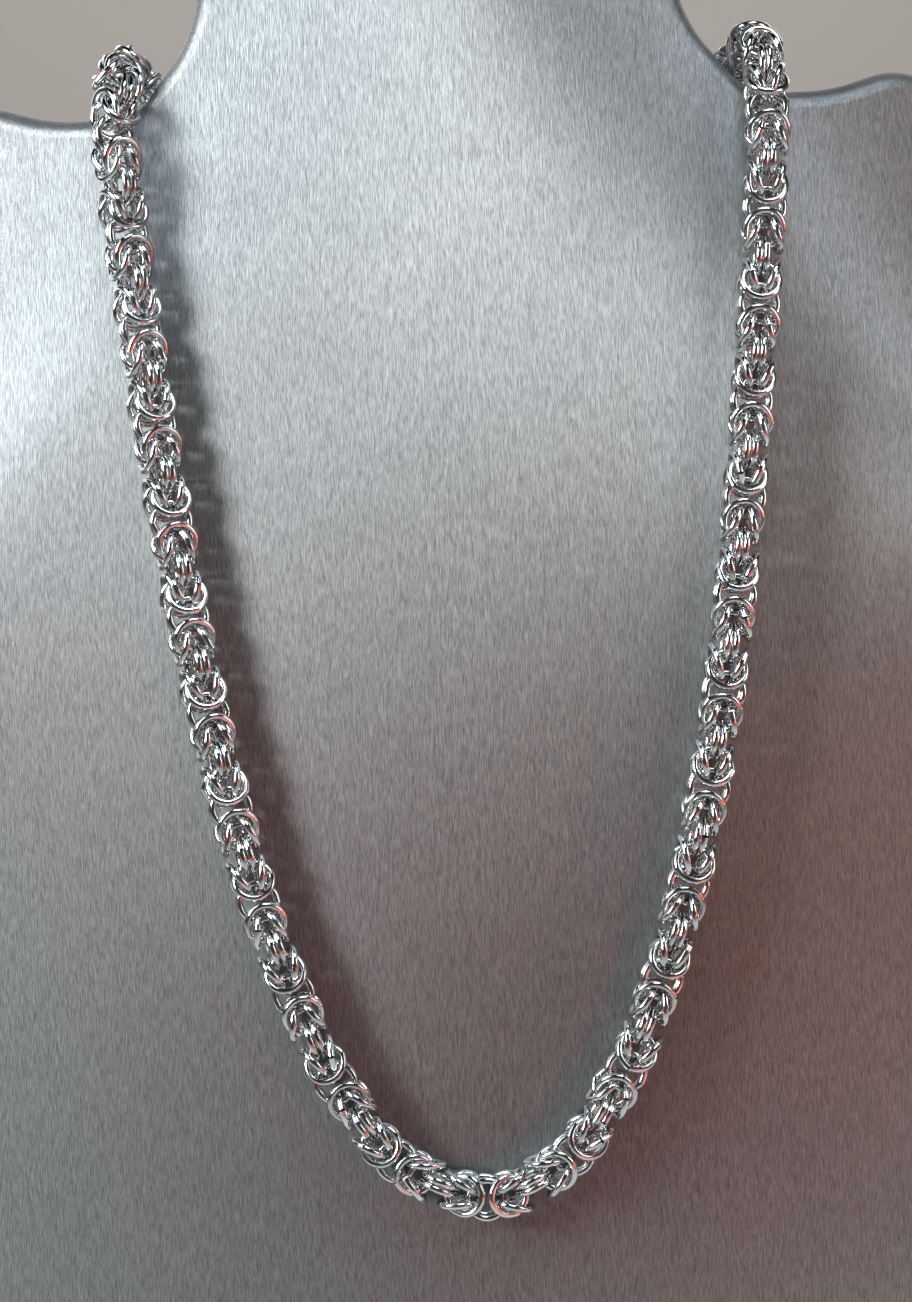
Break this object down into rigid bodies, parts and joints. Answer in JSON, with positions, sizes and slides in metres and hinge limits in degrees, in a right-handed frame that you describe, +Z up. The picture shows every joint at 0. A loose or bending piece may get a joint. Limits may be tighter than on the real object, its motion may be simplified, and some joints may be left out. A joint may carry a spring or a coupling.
{
  "type": "chainmail necklace on a neck bust",
  "caption": "Byzantine weave chainmail necklace of round wire rings, closed behind the neck with a plain clasp, hanging on a plain leaning grey neck bust.",
  "frame": {"origin": "middle of the bust's foot, on the surface it stands on", "axes": "+Z up, the chest faces -Y, +X to the viewer's right"},
  "size_m": [0.221, 0.146, 0.3066],
  "materials": {
    "leatherette": "satin",
    "steel_wire": "polished"
  },
  "bodies": {
    "root": {"bust": "leatherette", "chain_left": "steel_wire", "chain_right": "steel_wire", "chain_back_left": "steel_wire", "chain_back_right": "steel_wire", "end_ring_left": "steel_wire", "end_ring_right": "steel_wire", "clasp": "steel_wire"}
  },
  "joints": []
}
